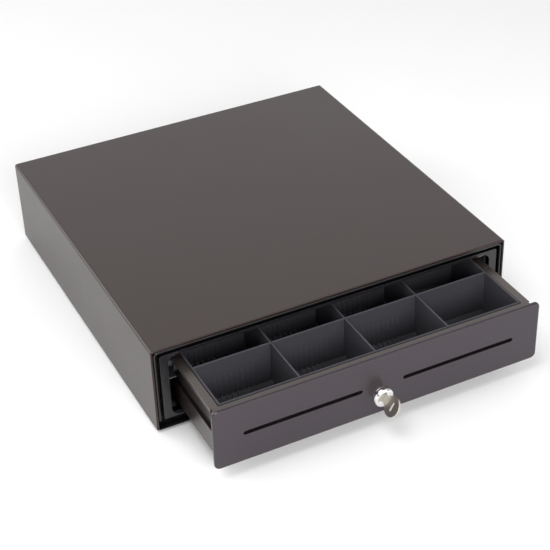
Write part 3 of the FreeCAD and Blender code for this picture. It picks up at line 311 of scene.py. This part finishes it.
PLASTICS = {
    "till_plastic": dict(colour=(0.046, 0.045, 0.053), rough=0.50, shine=0.3),
    "clip_plastic": dict(colour=(0.046, 0.045, 0.050), rough=0.42, shine=0.4),
    "nylon_black": dict(colour=(0.036, 0.036, 0.038), rough=0.45, grain=0.2),
    "coil_tape": dict(colour=(0.55, 0.36, 0.06), rough=0.35, grain=0.2, fine=700),
    "foot_rubber": dict(colour=(0.022, 0.022, 0.022), rough=0.7, grain=0.5, fine=1200),
}

MATERIALS = {
    name: make(name, **finish)
    for make, finishes in ((powder_coat, PAINTS), (steel, METALS), (moulded, PLASTICS))
    for name, finish in finishes.items()
}

# The record gives the drawer's pan and its rails one paint, but only the pan has the track on its sides,
# so only the pan gets the track's painted shade.
for part in frame["record"]["subparts"]:
    node = NODES[part["node"]]
    node.data.materials.clear()
    slot = "track_paint" if part["node"] == "drawer_pan" else part["material_slot"]
    node.data.materials.append(MATERIALS[slot])


# ---------------------------------------------------------------- stage

FLOOR_REACH = 12

# Name, place, where it points, width and height, and watts.
LIGHTS = [
    ("key_light", (-1.5, 1.6, 1.0), (-0.2, 0.1, 0.05), (1.0, 1.0), 12),
    ("top_light", (-0.9, -0.4, 2.5), (0, 0, 0), (1.6, 1.6), 30),
    ("fill_light", (0.85, -1.9, 1.15), (0, -0.2, 0.05), (1.3, 1.0), 10),
    ("front_light", (-0.35, -2.0, 0.95), (0, -0.2, 0.05), (0.9, 0.9), 32),
]


def make_floor():
    g = Graph("stage_floor")
    g.set(Roughness=0.9)
    material = g.surface(g.mix(g.noise(3, 2), (0.90, 0.90, 0.90), (0.93, 0.93, 0.93)))
    level = CAD_BOX[0][2]
    signs = ((-1, -1), (1, -1), (1, 1), (-1, 1))
    corners = [(x * FLOOR_REACH, y * FLOOR_REACH, level) for x, y in signs]
    mesh = bpy.data.meshes.new("floor")
    mesh.from_pydata(corners, [], [(0, 1, 2, 3)])
    mesh.materials.append(material)
    piece = bpy.data.objects.new("floor", mesh)
    bpy.context.scene.collection.objects.link(piece)


def area_light(name, place, target, size, watts):
    data = bpy.data.lights.new(name, "AREA")
    data.shape = "RECTANGLE"
    data.size, data.size_y = size
    data.energy = watts
    light = bpy.data.objects.new(name, data)
    aim = Vector(target) - Vector(place)
    light.matrix_world = Matrix.Translation(place) @ aim.to_track_quat("-Z", "Y").to_matrix().to_4x4()
    bpy.context.scene.collection.objects.link(light)


def make_world():
    """A white room that is dark overhead and towards the front."""
    white = (1, 1, 1, 1)
    dark = (0.15, 0.15, 0.15, 1)
    world = bpy.data.worlds.new("studio")
    world.use_nodes = True
    tree = world.node_tree
    coordinates = tree.nodes.new("ShaderNodeTexCoord")
    overhead = tree.nodes.new("ShaderNodeVectorMath")
    overhead.operation = "DOT_PRODUCT"
    overhead.inputs[1].default_value = (0.0, -0.6, 1.0)
    ramp = tree.nodes.new("ShaderNodeValToRGB")
    low, high = ramp.color_ramp.elements
    low.position, low.color = 0.35, white
    high.position, high.color = 0.75, dark
    background = tree.nodes["Background"]
    background.inputs["Strength"].default_value = 1.15
    tree.links.new(coordinates.outputs["Generated"], overhead.inputs[0])
    tree.links.new(overhead.outputs["Value"], ramp.inputs["Fac"])
    tree.links.new(ramp.outputs["Color"], background.inputs["Color"])
    bpy.context.scene.world = world


def make_camera():
    """The photograph's viewpoint: a long lens from the front left, looking down."""
    place = Vector((-0.5673, -1.2507, 0.9415))
    target = Vector((-0.0089, -0.0835, 0.0500))
    roll = math.radians(-2.035)
    forward = (target - place).normalized()
    level_right = forward.cross(Vector((0, 0, 1))).normalized()
    level_up = level_right.cross(forward)
    right = level_right * math.cos(roll) + level_up * math.sin(roll)
    up = level_up * math.cos(roll) - level_right * math.sin(roll)
    data = bpy.data.cameras.new("camera")
    data.sensor_width = 36
    data.lens = 93.68
    data.clip_start = 0.05
    data.clip_end = 60
    camera = bpy.data.objects.new("camera", data)
    turn = Matrix((right, up, -forward)).transposed()
    camera.matrix_world = Matrix.Translation(place) @ turn.to_4x4()
    bpy.context.scene.collection.objects.link(camera)
    bpy.context.scene.camera = camera


bpy.context.scene.view_settings.view_transform = "Standard"
make_camera()
make_floor()
make_world()
for light in LIGHTS:
    area_light(*light)
